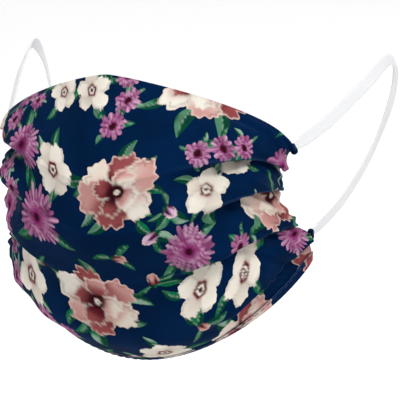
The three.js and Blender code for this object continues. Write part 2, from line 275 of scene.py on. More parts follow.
def folded_line(rail):
    """The folded cloth's middle line as (s, h) points, how much of a fold's edge each is (for its lightening,
    part wear and part painted highlight), and its painted shade under a pleat's lip.
    """
    folds = [fold_at(p, rail) for p in PLEATS]
    clear = CLOTH / 2 + PLY_GAP + (CLOTH + PLY_GAP) / 2
    slack = 0.8
    pts, edge = [(0.0, 0.0)], [0.0]

    def panel(start, to, steps):
        leave = max(start["s"] + slack, start["clear_to"])
        meet = min(to["s"] - slack, to["clear_from"])
        if leave >= meet:
            middle = (leave + meet) / 2
            leave, meet = middle - slack / 4, middle + slack / 4
        lead, slope, lap_steps = steps
        for i in range(1, lead + 1):
            pts.append((mix(start["s"], leave, i / lead), start["h"]))
        for i in range(1, slope + 1):
            t = i / slope
            pts.append((mix(leave, meet, t), mix(start["h"], to["h"], float(smooth(t)))))
        for i in range(1, lap_steps + 1):
            pts.append((mix(meet, to["s"], i / lap_steps), to["h"]))
        edge.extend([0.0] * sum(steps))

    start = dict(s=0.0, h=0.0, clear_to=0.0)
    for n, f in enumerate(folds):
        lap = max(0.0, -f["tuck"] * math.cos(f["angle"])) + clear
        panel(start, dict(s=f["s"], h=f["off"] / 2, clear_from=f["s"] - lap), PANEL_STEPS[n])

        def arc(from_s, from_h, way, i):
            a = f["angle"] * i / BEND_STEPS
            return from_s + way * f["radius"] * math.sin(a), from_h - way * f["radius"] * (1 - math.cos(a))

        upper = (f["s"], f["off"] / 2, 1)
        lower = (f["s"] + f["along"], -f["off"] / 2, -1)
        # Each fold's edge is marked for lightening, partly as wear and partly as a painted highlight.
        for i in range(1, BEND_STEPS + 1):
            pts.append(arc(*upper, i))
            edge.append(f["pressed"] * max(0.0, math.sin(math.pi * i / BEND_STEPS)))
        top, foot = pts[-1], arc(*lower, BEND_STEPS)
        for i in range(1, TUCK_STEPS + 1):
            t = i / TUCK_STEPS
            pts.append((mix(top[0], foot[0], t), mix(top[1], foot[1], t)))
        for i in range(BEND_STEPS - 1, -1, -1):
            pts.append(arc(*lower, i))
        edge.extend([0.0] * (TUCK_STEPS + BEND_STEPS))
        start = dict(s=lower[0], h=lower[1], clear_to=f["s"] + clear)
    panel(start, dict(s=rail.total, h=0.0, clear_from=rail.total), PANEL_STEPS[-1])
    pts = np.array(pts)
    # Painted shade: the cloth just below each pleat's lip is darkened, fading over SHADE_REACH.
    painted_pleat_shade = np.zeros(len(pts))
    for n, f in enumerate(folds):
        lip = f["s"] + f["radius"]
        for k in range(fold_index(n) + BEND_STEPS, fold_index(n + 1) + 1):
            painted_pleat_shade[k] = mix(0.3, 1, f["pressed"]) * math.exp(-max(0.0, pts[k, 0] - lip) / SHADE_REACH)
    return pts, np.array(edge), painted_pleat_shade


def fold_index(n):
    """The point of the middle line where fold n begins."""
    return sum(map(sum, PANEL_STEPS[: n + 1])) + n * (2 * BEND_STEPS + TUCK_STEPS)


def creases(u, s):
    """Relief of the worn cloth, in millimetres off the cup, at a length s down it.

    All plies of a pleat lie at one length, so they rise and fall together.
    """
    out = abs(u)
    phase = 0.0 if u > 0 else 1.9
    side = float(smooth((out - 0.50) / 0.42))
    cheek = float(smooth((out - 0.15) / 0.30)) * float(smooth((1.0 - out) / 0.25))
    gather = np.sin(0.83 * s + 2.6 * np.sin(0.19 * s + phase) - 3.0 * out + phase) * GATHER_DEPTH
    gather = gather + np.sin(1.47 * s + 5.0 * out + 2.1 * phase) * GATHER_DEPTH * 0.35
    drape = np.sin(0.26 * s - 4.4 * out + 1.3 * phase) + 0.5 * np.sin(0.41 * s + 6.2 * out + phase)
    worn = np.sin(0.17 * s + 5.0 * u) + 0.6 * np.sin(0.31 * s - 9.0 * u + 1.3)
    return gather * side + drape * cheek * DRAPE_DEPTH + worn * WORN_DEPTH


def relief(rail, s):
    """The creases at lengths s of one rail, fading out towards its two ends."""
    return creases(rail.u, s) * smooth(np.minimum(s / EVEN_BORDER, (rail.total - s) / EVEN_FOOT))


def column(u):
    """Both faces of the cloth at u, with the flat cloth's own coordinates, the fold edges and the painted
    shade under their lips.
    """
    rail = Rail(u)
    pts, edge, painted_pleat_shade = folded_line(rail)
    d = np.gradient(pts, axis=0)
    size = np.hypot(d[:, 0], d[:, 1])
    side = np.stack([-d[:, 1] / size, d[:, 0] / size], -1)
    side[0] = side[-1] = (0, 1)
    q = run(pts)
    q -= q[fold_index(REFERENCE_PLEAT)]
    h = pts[:, 1] + relief(rail, pts[:, 0])
    half = CLOTH / 2
    outer = rail.place(pts[:, 0] + side[:, 0] * half, h + side[:, 1] * half)
    inner = rail.place(pts[:, 0] - side[:, 0] * half, h - side[:, 1] * half)
    v = np.interp(np.clip(pts[:, 0], 0, rail.total), rail.lengths, rail.v)
    p = across_length(u, v)
    return dict(rail=rail, outer=outer, inner=inner, p=p, q=q, edge=edge, painted_pleat_shade=painted_pleat_shade)


def column_places(count):
    x = np.linspace(-1, 1, count + 1)
    return np.sign(x) * mix(np.abs(x), 1 - (1 - np.abs(x)) ** 2, 0.35)


# Mesh helpers


def link(name, verts, faces, material):
    mesh = bpy.data.meshes.new(name)
    mesh.from_pydata([tuple(v) for v in np.asarray(verts) * MM], [], faces)
    mesh.materials.append(material)
    mesh.polygons.foreach_set("use_smooth", [True] * len(mesh.polygons))
    mesh.update()
    obj = bpy.data.objects.new(name, mesh)
    bpy.context.scene.collection.objects.link(obj)
    return obj


def point_attribute(obj, name, values):
    a = obj.data.attributes.new(name, "FLOAT", "POINT")
    a.data.foreach_set("value", np.asarray(values, dtype=np.float32))


def point_colour(obj, name, values):
    a = obj.data.attributes.new(name, "FLOAT_COLOR", "POINT")
    rgba = np.ones((len(values), 4), dtype=np.float32)
    rgba[:, :3] = values
    a.data.foreach_set("color", rgba.ravel())


def flat_uv(obj, name, uv):
    """uv is in millimetres of flat cloth for each vertex."""
    layer = obj.data.uv_layers.new(name=name)
    index = np.zeros(len(obj.data.loops), dtype=np.int32)
    obj.data.loops.foreach_get("vertex_index", index)
    layer.data.foreach_set("uv", np.asarray(uv, dtype=np.float32)[index].ravel())


# The print: blossoms, daisies, full blooms and leaves, drawn in millimetres of flat cloth


def linear(*rgb):
    c = np.array(rgb) / 255.0
    return np.where(c <= 0.04045, c / 12.92, ((c + 0.055) / 1.055) ** 2.4)


CREAM = linear(240, 230, 214)
IVORY = linear(250, 244, 232)
GREIGE = linear(176, 166, 160)
MAROON = linear(92, 26, 38)
DARK_MAROON = linear(58, 14, 26)
MAGENTA = linear(146, 46, 114)
PALE_MAGENTA = linear(232, 192, 220)
PLUM = linear(80, 18, 66)
DUSTY = linear(214, 158, 152)
ROSE = linear(156, 78, 80)
LEAF = linear(18, 112, 70)
LEAF_DARK = linear(6, 58, 46)
LEAF_PALE = linear(150, 186, 162)


def blend(a, b, t):
    return mix(a, b, np.clip(t, 0, 1)[..., None])


# The widest of the print's random angles, in radians
TURN = 6.28


def uneven(x, y, seed, scale):
    """Soft brushed unevenness from -1 to 1 over places in millimetres."""
    rng = random.Random(seed)
    out = np.zeros_like(x)
    for _ in range(5):
        a = rng.uniform(0, 2 * math.pi)
        k = rng.uniform(0.6, 1.7) / scale
        out = out + np.sin(k * (x * math.cos(a) + y * math.sin(a)) + rng.uniform(0, TURN))
    return out / 3.2


def turned(x, y, angle):
    """Places in axes that are turned by an angle."""
    ca, sa = math.cos(angle), math.sin(angle)
    return x * ca + y * sa, -x * sa + y * ca


def petal(x, y, angle, length, width, seed, ruffle=0.06):
    """One petal from the origin: how far inside it each place is, and its own length and width places."""
    along, across = turned(x, y, angle)
    mid, a, b = 0.54 * length, 0.5 * length, 0.5 * width
    ex, ey = (along - mid) / a, across / b
    ey = ey / (0.80 + 0.20 * np.clip(ex + 0.6, 0, 1.2))
    theta = np.arctan2(ey, ex)
    rng = random.Random(seed)
    rim = np.ones_like(x)
    for k in (5, 8, 13):
        swing = ruffle * rng.uniform(0.4, 1.0)
        rim = rim + swing * np.sin(k * theta + rng.uniform(0, TURN)) * np.clip(ex + 0.5, 0, 1)
    f = (rim - np.hypot(ex, ey)) * min(a, b) * 0.85
    return f, along / length, ey


def blank(x, colour):
    """A motif before its first petal: nothing inside it yet, and one colour."""
    return np.full_like(x, -50.0), np.zeros(x.shape + (3,)) + colour


def lay(base, over, f):
    """Lays one petal's colour over what is there."""
    return blend(base, over, smooth((f + 0.3) / 0.6))


def blossom(x, y, size, seed):
    """An open flower of five or six petals, part in shade, with a ringed heart."""
    petals = 5 + seed % 2
    rng = random.Random(seed)
    start = rng.uniform(0, TURN)
    inside, c = blank(x, CREAM)
    for k in range(petals):
        a = start + 2 * math.pi * k / petals + rng.uniform(-0.12, 0.12)
        long = size * rng.uniform(0.9, 1.05)
        f, u, v = petal(x, y, a, long, size * rng.uniform(0.80, 0.95), seed * 7 + k, 0.05)
        tone = blend(GREIGE, CREAM, 0.25 + 0.9 * u) if k % 3 == 0 else blend(CREAM, IVORY, u)
        tone = blend(tone, GREIGE, 0.30 * smooth((uneven(x, y, seed + k, 1.6) + 0.1) / 0.8) * (1 - u))
        tone = blend(tone, GREIGE, 0.60 * smooth((1.1 - f) / 0.9) * smooth(v / 0.3))
        c = lay(c, tone, f)
        inside = np.maximum(inside, f)
    r, a = np.hypot(x, y), np.arctan2(y, x)
    t = r / size * (1 + 0.09 * np.cos(5 * a + start))
    c = blend(c, DUSTY, 0.45 * smooth((0.42 - t) / 0.14))
    c = blend(c, MAROON, smooth((0.33 - t) / 0.07))
    c = blend(c, IVORY, smooth((0.20 - t) / 0.06))
    c = blend(c, DARK_MAROON, smooth((0.12 - t) / 0.05))
    return inside, c


def daisy(x, y, size, seed):
    """A round flower of many brushed narrow petals."""
    rng = random.Random(seed)
    big = size > 7
    petals = 22 + seed % 5 if big else 12
    r, a = np.hypot(x, y), np.arctan2(y, x) + math.pi
    place = a * petals / (2 * math.pi)
    number = np.floor(place).astype(int) % petals
    comb = np.sin(math.pi * (place - np.floor(place)))
    lengths = np.array([rng.uniform(0.80, 1.06) for _ in range(petals)])
    tints = np.array([rng.uniform(0.0, 1.0) for _ in range(petals)])
    rim = size * lengths[number] * (0.66 + 0.34 * comb**0.55)
    t = r / size
    streak = 0.5 + 0.5 * np.sin(petals * 2 * a + 1.6 * uneven(x, y, seed, 3.0))
    c = blend(PLUM, MAGENTA, 0.35 + 0.65 * comb)
    pale = smooth((t - 0.22) / 0.5) * (0.25 + 0.75 * tints[number]) * comb**1.2
    c = blend(c, PALE_MAGENTA, pale * (0.45 + 0.55 * streak))
    inner_rim = 0.60 * size * (0.78 + 0.22 * np.abs(np.cos(petals * 0.43 * a + seed)))
    inner = blend(MAGENTA, PALE_MAGENTA, 0.7 * streak * smooth((t - 0.16) / 0.3))
    c = blend(c, inner, 0.8 * smooth((inner_rim - r) / (0.05 * size)))
    c = blend(c, PLUM, 0.55 * smooth((uneven(x, y, seed + 3, 2.2) - 0.15) / 0.5))
    c = blend(c, DARK_MAROON, smooth(((0.17 if big else 0.30) - t) / 0.07))
    return rim - r, c


BLOOM_TONES = (
    (DUSTY, ROSE), (CREAM, DUSTY), (ROSE, MAROON), (DUSTY, CREAM), (IVORY, DUSTY), (ROSE, DARK_MAROON),
)


def bloom(x, y, size, seed):
    """A full flower of loose ruffled petals, dusty pink and cream, with deep red hollows."""
    rng = random.Random(seed)
    start = rng.uniform(0, TURN)
    inside, c = blank(x, DUSTY)
    for ring, (count, reach, wide) in enumerate(((6, 1.0, 0.92), (4, 0.66, 0.62))):
        turns = list(range(count))
        rng.shuffle(turns)
        for k in turns:
            a = start + 2 * math.pi * (k + 0.5 * ring) / count + rng.uniform(-0.2, 0.2)
            long = size * reach * rng.uniform(0.80, 1.08)
            broad = size * wide * rng.uniform(0.75, 1.05)
            f, u, v = petal(x, y, a, long, broad, seed * 31 + 10 * ring + k, 0.09)
            pale, deep = BLOOM_TONES[(seed + k + 2 * ring) % len(BLOOM_TONES)]
            brush = uneven(x, y, seed + 5 * k, 2.6)
            fine = 0.5 + 0.5 * np.sin(9 * v + 3 * uneven(x, y, seed + k + 50, 1.8))
            tone = blend(deep, pale, smooth((u - 0.25 + 0.22 * brush) / 0.6))
            tone = blend(tone, MAROON, 0.35 * fine * smooth((0.75 - u) / 0.5))
            tone = blend(tone, DARK_MAROON, 0.9 * smooth((0.40 - u + 0.14 * brush) / 0.24))
            tone = blend(tone, CREAM, 0.65 * smooth((0.85 - f) / 0.7))
            fold = smooth((1.9 - f) / 0.9) * smooth((f - 0.5) / 0.6) * smooth(-v / 0.3)
            tone = blend(tone, MAROON, 0.40 * fold)
            c = lay(c, tone, f)
            inside = np.maximum(inside, f)
    t = np.hypot(x, y) / size * (1 + 0.25 * uneven(x, y, seed + 9, 2.0))
    c = blend(c, DARK_MAROON, smooth((0.25 - t) / 0.09))
    c = blend(c, CREAM, smooth((0.085 - t) / 0.03))
    return inside, c


def leaf(x, y, size, seed):
    """One pointed leaf with a pale midrib, from its stalk at the origin along +x."""
    t = np.clip(x / size, 0, 1)
    bend = 0.10 * size * np.sin(math.pi * t) * (1 if seed % 2 else -1)
    off = y - bend
    half = size * (0.15 + 0.03 * (seed % 4)) * np.sin(math.pi * t**0.85)
    over = np.maximum(0, np.maximum(-x, x - size))
    f = half - np.abs(off) - over
    side = smooth((off + 0.3) / 0.6)
    c = blend(LEAF_DARK, LEAF, 0.15 + 0.85 * side)
    c = blend(c, LEAF_DARK, 0.6 * smooth((uneven(x, y, seed, 1.4) - 0.1) / 0.5))
    pale = 0.95 if seed % 5 == 0 else 0.25
    c = blend(c, LEAF_PALE, pale * side * smooth((uneven(x * 0.35, y, seed + 2, 1.2) + 0.3) / 0.6))
    c = blend(c, LEAF_PALE, 0.65 * smooth((0.30 - np.abs(off)) / 0.2) * smooth((0.9 - t) / 0.3))
    return f, c


def sprig(x, y, size, seed):
    """A thin stem with small leaves in turn on each side."""
    rng = random.Random(seed)
    curve = 0.14 * size * np.sin(math.pi * np.clip(x / size + 0.5, 0, 1))
    over = np.maximum(0, np.abs(x) - size / 2)
    inside = 0.32 - np.abs(y - curve) - over
    c = np.zeros(x.shape + (3,)) + LEAF_PALE
    for k in range(5):
        at = size * (-0.42 + 0.2 * k)
        a = math.radians(rng.uniform(28, 52)) * (1 if k % 2 else -1)
        dx, dy = x - at, y - 0.14 * size * math.sin(math.pi * (at / size + 0.5))
        f, tone = leaf(*turned(dx, dy, a), size * rng.uniform(0.30, 0.42), seed * 3 + k)
        c = lay(c, tone, f)
        inside = np.maximum(inside, f)
    return inside, c


def bud(x, y, size, seed):
    """A closed bud with a green cup."""
    f, u, v = petal(x + 0.7 * size, y, 0.0, 1.9 * size, 1.15 * size, seed, 0.04)
    pale, deep = ((DUSTY, MAROON), (PALE_MAGENTA, PLUM))[seed % 2]
    c = blend(deep, pale, smooth((u - 0.35 + 0.25 * np.sin(5 * v + seed)) / 0.5))
    c = blend(c, CREAM, 0.5 * smooth((0.35 - f) / 0.3) * (u > 0.5))
    c = blend(c, LEAF_DARK, smooth((0.30 - u) / 0.06))
    c = blend(c, LEAF, 0.7 * smooth((0.28 - u) / 0.06) * (v > 0))
    return f, c


DRAW = {"blossom": blossom, "daisy": daisy, "bloom": bloom, "leaf": leaf, "sprig": sprig, "bud": bud}

# What the print scatters over the cloth: kind, how many, half size and how much room it keeps.
SCATTER = (
    ("bloom", 11, 15.0, 1.22),
    ("daisy", 13, 10.5, 0.98),
    ("blossom", 20, 8.6, 0.93),
    ("sprig", 14, 11.0, 0.72),
    ("daisy", 30, 4.8, 0.95),
    ("bud", 18, 3.6, 0.95),
)
# Leaves that grow from under each flower: how many, and their length as a share of its half size.
LEAVES = {"bloom": (7, 0.72), "blossom": (4, 1.15), "daisy": (4, 1.0), "bud": (3, 2.2), "sprig": (0, 0)}
CLOTH_SPAN = (102.0, -78.0, 98.0)
PRINT_SEED = 3
MOST_TRIES = 4000
INK_DEPTH = 0.78


def motifs():
    rng = random.Random(PRINT_SEED)
    wide, top, foot = CLOTH_SPAN
    placed = []
    for kind, count, size, room in SCATTER:
        made, tries = 0, 0
        while made < count and tries < MOST_TRIES:
            tries += 1
            half = size * rng.uniform(0.88, 1.12)
            p, q = rng.uniform(-wide, wide), rng.uniform(top, foot)
            if kind == "daisy" and size < 6 and made % 3:
                near = placed[-1]
                a = rng.uniform(0, TURN)
                p, q = near[1] + 2.0 * half * math.cos(a), near[2] + 2.0 * half * math.sin(a)
            if all(math.hypot(p - m[1], q - m[2]) > (half + m[3]) * max(room, m[6]) for m in placed):
                placed.append((kind, p, q, half, rng.uniform(0, 360), len(placed), room))
                made += 1
    leaves = []
    for kind, p, q, half, turn, n, _ in placed:
        count, share = LEAVES[kind]
        start = rng.uniform(0, 360)
        for k in range(count):
            a = math.radians(start + 360 * k / count + rng.uniform(-30, 30))
            root = half * (0.62 if kind != "bud" else 0.4)
            long = half * share * rng.uniform(0.8, 1.2)
            lean = math.degrees(a) + rng.uniform(-35, 35)
            leaves.append(("leaf", p + root * math.cos(a), q + root * math.sin(a), long, lean, 5 * n + k))
    return leaves + [m[:6] for m in placed]


def print_fields(p, q):
    """For flat places p and q: how far inside a motif each lies, in millimetres, and its colour."""
    inside, colour = blank(p, 0.0)
    for kind, mp, mq, size, turn, seed_here in motifs():
        reach = size * 1.35 + 3
        near = (np.abs(p - mp) < reach) & (np.abs(q - mq) < reach)
        if not near.any():
            continue
        x, y = turned(p[near] - mp, q[near] - mq, math.radians(turn))
        f, c = DRAW[kind](x, y, size, seed_here)
        old, was = inside[near], colour[near]
        take = (f > -0.05) | ((f > old) & (old <= 0))
        was[take] = c[take]
        colour[near] = was
        inside[near] = np.where(f > -0.05, np.maximum(f, 0.02), np.maximum(old, f))
    return inside, colour * INK_DEPTH


# Materials


class Nodes:
    """A short way to build a material's node tree."""

    def __init__(self, name):
        self.material = bpy.data.materials.new(name)
        self.material.use_nodes = True
        self.tree = self.material.node_tree
        self.tree.nodes.clear()
        self.out = self.tree.nodes.new("ShaderNodeOutputMaterial")

    def make(self, kind, inputs, output=0, **settings):
        """A node with its inputs set or linked. Returns one of its outputs."""
        node = self.tree.nodes.new(kind)
        for key, value in settings.items():
            setattr(node, key, value)
        for key, value in inputs.items():
            if hasattr(value, "is_output"):
                self.tree.links.new(value, node.inputs[key])
            else:
                node.inputs[key].default_value = value
        return node.outputs[output]

    def math(self, operation, a, b):
        return self.make("ShaderNodeMath", {0: a, 1: b}, operation=operation)

    def range(self, value, low, high, to_low=0.0, to_high=1.0, kind="LINEAR"):
        inputs = dict(enumerate((value, low, high, to_low, to_high)))
        return self.make("ShaderNodeMapRange", inputs, interpolation_type=kind)

    def mix(self, factor, a, b, kind="MIX"):
        return self.make("ShaderNodeMix", {0: factor, 6: a, 7: b}, 2, data_type="RGBA", blend_type=kind)

    def attribute(self, name, output="Fac"):
        return self.make("ShaderNodeAttribute", {}, output, attribute_name=name)

    def noise(self, vector, scale, detail=2.0):
        return self.make("ShaderNodeTexNoise", {"Vector": vector, "Scale": scale, "Detail": detail}, "Fac")

    def wave(self, vector, scale, direction="X", distortion=0.0):
        inputs = {"Vector": vector, "Scale": scale, "Distortion": distortion}
        return self.make("ShaderNodeTexWave", inputs, "Fac", bands_direction=direction)

    def uv(self, name):
        return self.make("ShaderNodeUVMap", {}, uv_map=name)

    def shade(self, inputs):
        """Ends the tree in a principled shader with these inputs."""
        self.tree.links.new(self.make("ShaderNodeBsdfPrincipled", inputs), self.out.inputs[0])
        return self.material

    def principled(self, colour, roughness, height, bump, sheen=0.0, specular=0.1):
        strength, distance = bump
        inputs = {"Strength": strength, "Distance": distance, "Height": height}
        return self.shade({
            "Base Color": colour,
            "Roughness": roughness,
            "Normal": self.make("ShaderNodeBump", inputs),
            "Sheen Weight": sheen,
            "Sheen Roughness": SHEEN_ROUGHNESS,
            "Specular IOR Level": specular,
        })


def paint(*rgb):
    return (*linear(*rgb), 1)


NAVY = paint(1, 31, 68)
# Pale navy of fold and hem edges: partly wear, partly a painted highlight
NAVY_WORN_AND_LIT = paint(60, 84, 122)
NAVY_DEEP = paint(0, 24, 54)
INNER_HAZE = paint(58, 70, 98)
FIBRE_TINT = (0.75, 0.7, 0.68, 1)
BLACK = (0.0, 0.0, 0.0, 1)
# The elastic's own white, and the darker colour of its dips, a painted shade
ELASTIC_GROOVE_SHADE = paint(188, 189, 192)
ELASTIC_HIGH = paint(232, 232, 233)
ELASTIC_FIBRE = paint(206, 207, 211)
# Thread colours in the grooves and on the crests of its twist: painted shade and painted highlight
THREAD_TWIST_SHADE = paint(14, 24, 52)
THREAD_TWIST_HIGHLIGHT = paint(34, 50, 88)

# Distances between yarns of the cloth, and ribs and rows of the elastic, in millimetres
YARN_PITCH = 0.42
RIB_PITCH = 0.62
ROW_PITCH = 0.5
# Bump strength and depth, the depth in metres
YARN_BUMP = (0.55, 0.00006)
KNIT_BUMP = (0.6, 0.00012)
TWIST_BUMP = (0.4, 0.00003)
CLOTH_SPECULAR = 0.012
SHEEN_ROUGHNESS = 0.45
# How much of the haze covers the inner face, and how dark the painted shade under a pleat is
INNER_FADE = 0.72
TUCK_SHADE = 0.55
STAIN_EDGE = 0.10


def wave_scale(pitch):
    """The wave texture's scale for bands that lie pitch millimetres apart."""
    return 2 * math.pi / pitch / 20


def cloth_face(n, uv, fibre, print_edge, ink, cloudiness, wear_highlight_range):
    """Navy cloth with its ink and yarns, painted shade where the yarns dip, and fold edges lightened partly
    as wear and partly as a painted highlight: its colour, and the height of its yarns.
    """
    ground = n.mix(n.range(n.noise(uv, cloudiness), 0.3, 0.7), NAVY_DEEP, NAVY)
    stain = n.range(print_edge, -STAIN_EDGE, STAIN_EDGE, kind="SMOOTHSTEP")
    scale = wave_scale(YARN_PITCH)
    threads = n.math("ADD", n.wave(uv, scale, "X"), n.wave(uv, scale, "Y"))
    # Painted shade: the cloth is darkened towards black where the yarns dip between each other.
    face = n.mix(n.range(threads, 0.2, 1.8, 0.16, 0.0), n.mix(stain, ground, ink), BLACK)
    # Fold and hem edges lightened towards pale navy, partly as wear and partly as a painted highlight.
    worn = n.math("MULTIPLY", n.attribute("edge_wear_and_highlight"), n.range(fibre, 0.3, 0.7, *wear_highlight_range))
    return n.mix(worn, face, NAVY_WORN_AND_LIT), threads


def printed_cloth():
    n = Nodes("printed_cloth")
    uv = n.uv("flat_cloth")
    fibre = n.noise(uv, 1.6, 3.0)
    bleed = n.math("MULTIPLY", n.math("SUBTRACT", fibre, 0.5), 0.35)
    edge = n.math("ADD", n.attribute("print_inside"), bleed)
    colour = n.attribute("print_colour", "Color")
    ink = n.mix(n.range(fibre, 0.35, 0.7, 0.0, 0.22), colour, FIBRE_TINT, "SOFT_LIGHT")
    face, threads = cloth_face(n, uv, fibre, edge, ink, 0.05, (0.15, 0.45))
    # Painted shade under the pleats' lips, mixed towards black.
    shaded = n.mix(n.math("MULTIPLY", n.attribute("painted_pleat_shade"), TUCK_SHADE), face, BLACK)
    both = n.mix(n.attribute("outer_face"), n.mix(INNER_FADE, face, INNER_HAZE), shaded)
    rough = n.range(fibre, 0.3, 0.7, 0.56, 0.7)
    return n.principled(both, rough, threads, YARN_BUMP, specular=CLOTH_SPECULAR)


def hem_cloth():
    n = Nodes("hem_cloth")
    uv = n.uv("flat_cloth")
    fibre = n.noise(uv, 1.6, 3.0)
    ink = n.attribute("print_colour", "Color")
    face, threads = cloth_face(n, uv, fibre, n.attribute("print_inside"), ink, 0.06, (0.2, 0.5))
    rough = n.range(fibre, 0.3, 0.7, 0.58, 0.72)
    return n.principled(face, rough, threads, YARN_BUMP, specular=CLOTH_SPECULAR)


def elastic():
    n = Nodes("elastic")
    uv = n.uv("band")
    ribs = n.wave(uv, wave_scale(RIB_PITCH), "X")
    rows = n.wave(uv, wave_scale(ROW_PITCH), "DIAGONAL", 0.6)
    fibre = n.noise(uv, 2.2, 3.0)
    height = n.math("ADD", n.math("MULTIPLY", ribs, 0.8), n.math("MULTIPLY", rows, 0.35))
    # Painted shade: the knit is coloured darker where it dips between its ribs and rows.
    colour = n.mix(n.range(height, 0.0, 1.0), ELASTIC_GROOVE_SHADE, ELASTIC_HIGH)
    colour = n.mix(n.range(fibre, 0.35, 0.75, 0.0, 0.2), colour, ELASTIC_FIBRE)
    return n.principled(colour, n.range(fibre, 0.3, 0.7, 0.7, 0.85), height, KNIT_BUMP, sheen=0.1)


def thread():
    n = Nodes("thread")
    twist = n.wave(n.uv("strand"), 1.4, "DIAGONAL", 0.2)
    # Painted shade and highlight: the thread is darker in the grooves of its twist and lighter on its crests.
    colour = n.mix(twist, THREAD_TWIST_SHADE, THREAD_TWIST_HIGHLIGHT)
    return n.principled(colour, n.range(twist, 0, 1, 0.45, 0.6), twist, TWIST_BUMP, sheen=0.1)


# The cloth cup


def make_mask(material):
    cols = [column(float(u)) for u in column_places(COLUMNS)]
    keys = ("outer", "inner", "p", "q", "edge", "painted_pleat_shade")
    outer, inner, p, q, edge, painted_pleat_shade = (np.array([c[key] for c in cols]) for key in keys)
    nc, ns = p.shape

    # A rounded rim runs round the border, half way between the faces and a little proud of them.
    middle = (outer + inner) / 2
    proud = RIM_PROUD * CLOTH

    def rim(at, towards):
        d = middle[at] - middle[towards]
        return middle[at] + proud * d / np.linalg.norm(d, axis=-1)[..., None]

    wide = np.zeros((nc + 2, ns + 2, 3))
    wide[1:-1, 1:-1] = outer
    ends = ((0, 1), (-1, -2))
    for i, near in ends:
        wide[i, 1:-1] = rim(i, near)
        wide[1:-1, i] = rim(np.s_[:, i], np.s_[:, near])
    for i, near in ends:
        for j, beside in ends:
            wide[i, j] = (wide[near, j] + wide[i, beside]) / 2

    def grid_index(i, j):
        return i * (ns + 2) + j

    first_inner = (nc + 2) * (ns + 2)
    half = inner[::2, ::2]
    nh = half.shape[1]

    def inner_index(i, j):
        return first_inner + (i // 2) * nh + j // 2

    faces = []
    for i in range(nc + 1):
        for j in range(ns + 1):
            corners = ((i, j), (i, j + 1), (i + 1, j + 1), (i + 1, j))
            faces.append(tuple(grid_index(*at) for at in corners))
    for i in range(0, nc - 1, 2):
        for j in range(0, ns - 1, 2):
            corners = ((i, j), (i + 2, j), (i + 2, j + 2), (i, j + 2))
            faces.append(tuple(inner_index(*at) for at in corners))

    # Border of the rim to the inner face: two steps of the rim for each step of that face.
    def strip(rim_at, inner_at, count, flip):
        for k in range(0, count - 1, 2):
            ring = [rim_at(k), rim_at(k + 1), rim_at(k + 2), inner_at(k + 2), inner_at(k)]
            faces.append(tuple(ring[::-1] if flip else ring))

    for i, inner_i in ((0, 0), (nc + 1, nc - 1)):
        strip(lambda k: grid_index(i, k + 1), lambda k: inner_index(inner_i, k), ns, i == 0)
    for j, inner_j in ((0, 0), (ns + 1, ns - 1)):
        strip(lambda k: grid_index(k + 1, j), lambda k: inner_index(k, inner_j), nc, j > 0)
    for i, next_i, inner_i in ((0, 1, 0), (nc + 1, nc, nc - 1)):
        for j, next_j, inner_j in ((0, 1, 0), (ns + 1, ns, ns - 1)):
            pair = (grid_index(i, next_j), grid_index(next_i, j))
            beside, other = pair if (i == 0) == (j == 0) else pair[::-1]
            faces.append((other, inner_index(inner_i, inner_j), beside, grid_index(i, j)))

    verts = np.concatenate([wide.reshape(-1, 3), half.reshape(-1, 3)])
    obj = link("mask_cloth", verts, faces, material)

    def spread(values):
        wide_values = np.pad(values, 1, mode="edge")
        return np.concatenate([wide_values.ravel(), values[::2, ::2].ravel()])

    inside, colour = print_fields(p, q)
    for name, values in (("print_inside", inside), ("edge_wear_and_highlight", edge), ("painted_pleat_shade", painted_pleat_shade)):
        point_attribute(obj, name, spread(values))
    point_attribute(obj, "outer_face", np.arange(len(verts)) < first_inner)
    point_colour(obj, "print_colour", np.stack([spread(colour[..., k]) for k in range(3)], -1))
    flat_uv(obj, "flat_cloth", np.stack([spread(p), spread(q)], -1))
    # What the cloth measures laid flat, its folds and creases let out
    runs = np.linalg.norm(np.diff(middle, axis=1), axis=-1).sum(axis=1)
    patches = np.cross(middle[1:, 1:] - middle[:-1, :-1], middle[1:, :-1] - middle[:-1, 1:])
    area = float(np.linalg.norm(patches, axis=-1).sum() / 2)
    return obj, cols, dict(width=area / float(runs.mean()), length=float(runs.max()), area=area)


# Pieces sewn to the cloth


def tube_faces(count, around, base=0):
    """Faces of a tube of count rings of points, capped at both ends."""
    faces = []
    for i in range(count - 1):
        here, there = base + i * around, base + (i + 1) * around
        for j in range(around):
            k = (j + 1) % around
            faces.append((here + j, here + k, there + k, there + j))
    faces.append(tuple(range(base, base + around))[::-1])
    faces.append(tuple(range(base + (count - 1) * around, base + count * around)))
    return faces


def sweep(name, rings, material):
    return link(name, np.concatenate(rings), tube_faces(len(rings), len(rings[0])), material)


def rounded_strip(width, thickness, steps_wide, rounding=0.5):
    """Outline of a flat strip as (across, off) pairs, rounded over a share of its thickness."""
    r = thickness * rounding
    out = []
    for side in (1, -1):
        for i in range(steps_wide + 1):
            out.append((side * mix(r - width / 2, width / 2 - r, i / steps_wide), -side * thickness / 2))
        for k in range(1, 4):
            a = -math.pi / 2 + math.pi * k / 4
            out.append((side * (width / 2 - r + r * math.cos(a)), side * thickness / 2 * math.sin(a)))
    return out


